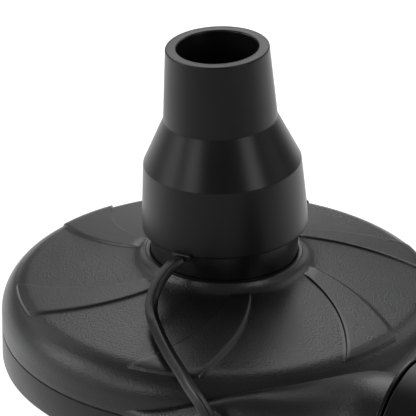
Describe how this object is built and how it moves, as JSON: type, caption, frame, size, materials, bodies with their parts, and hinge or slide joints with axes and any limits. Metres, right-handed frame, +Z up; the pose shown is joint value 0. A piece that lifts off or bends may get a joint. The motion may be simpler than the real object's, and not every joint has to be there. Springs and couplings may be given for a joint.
{
  "type": "electric air pump",
  "caption": "Electric blower for inflatables: round drum with a pinwheel cover on a motor housing, push-on suction and outlet nozzles, rocker switch, tether strap.",
  "frame": {"origin": "centre of the base pad's underside, where the impeller axis meets the surface the pump stands on", "axes": "+Z up along the impeller axis, -Y towards the front with the switch, +X to the right; the outlet leaves 30 degrees forward of +X"},
  "size_m": [0.1439, 0.1568, 0.1363],
  "materials": {
    "shell_plastic": "matte, fine-grained",
    "collar_plastic": "polished",
    "nozzle_plastic": "soft satin",
    "strap_rubber": "satin",
    "rubber": "matte",
    "screw_steel": "zinc plated",
    "can_steel": "plated",
    "core_steel": "laminated",
    "magnet": "sintered",
    "bronze": "sintered",
    "copper": "enamelled",
    "brass": "plain",
    "carbon": "pressed carbon",
    "white_plastic": "natural",
    "motor_plastic": "plain",
    "board": "lacquered",
    "component": "moulded",
    "sleeve": "shrink sleeve",
    "lead_red": "insulated",
    "lead_black": "insulated"
  },
  "bodies": {
    "housing": {"top_cover": "shell_plastic", "lower_housing": "shell_plastic", "inlet_collar": "collar_plastic", "outlet_collar": "collar_plastic", "shell_screws": "screw_steel", "base_cover": "shell_plastic", "base_pad": "rubber", "base_screws": "screw_steel", "motor_gasket": "rubber", "motor_can": "can_steel", "motor_screws": "screw_steel", "motor_magnets": "magnet", "front_bush": "bronze", "rear_bush": "bronze", "motor_end_bell": "motor_plastic", "brush_tubes": "brass", "carbon_brushes": "carbon", "brush_springs": "screw_steel", "motor_terminals": "brass", "switch_housing": "component", "switch_terminals": "brass", "circuit_board": "board", "bridge_rectifier": "component", "smoothing_capacitor": "sleeve", "switch_lead": "lead_black", "motor_lead_near": "lead_red", "motor_lead_far": "lead_black", "cable_gland": "rubber", "cord_clamp": "motor_plastic", "clamp_screws": "screw_steel", "strap_peg": "collar_plastic", "strap_eyelet": "strap_rubber", "tether_strap": "strap_rubber"},
    "rotor": {"motor_shaft": "can_steel", "armature_core": "core_steel", "armature_windings": "copper", "commutator": "copper", "thrust_washers": "white_plastic", "impeller": "white_plastic", "impeller_nut": "screw_steel"},
    "rocker": {"switch_rocker": "collar_plastic"},
    "inlet_nozzle": {"inlet_nozzle": "nozzle_plastic"},
    "outlet_nozzle": {"outlet_nozzle": "nozzle_plastic"}
  },
  "joints": [
    {"name": "rotor_spin", "type": "hinge", "parent": "housing", "child": "rotor", "pos_m": [0, 0, 0.06], "axis": [0, 0, 1], "continuous": true},
    {"name": "switch_press", "type": "hinge", "parent": "housing", "child": "rocker", "pos_m": [0, -0.043, 0.031], "axis": [1, 0, 0], "range_deg": [0, 20]},
    {"name": "inlet_nozzle_pull", "type": "slide", "parent": "housing", "child": "inlet_nozzle", "axis": [-0.0518, -0.0209, 0.9984], "range_m": [0, 0.03]},
    {"name": "outlet_nozzle_pull", "type": "slide", "parent": "housing", "child": "outlet_nozzle", "axis": [0.866, -0.5, 0], "range_m": [0, 0.03]}
  ]
}
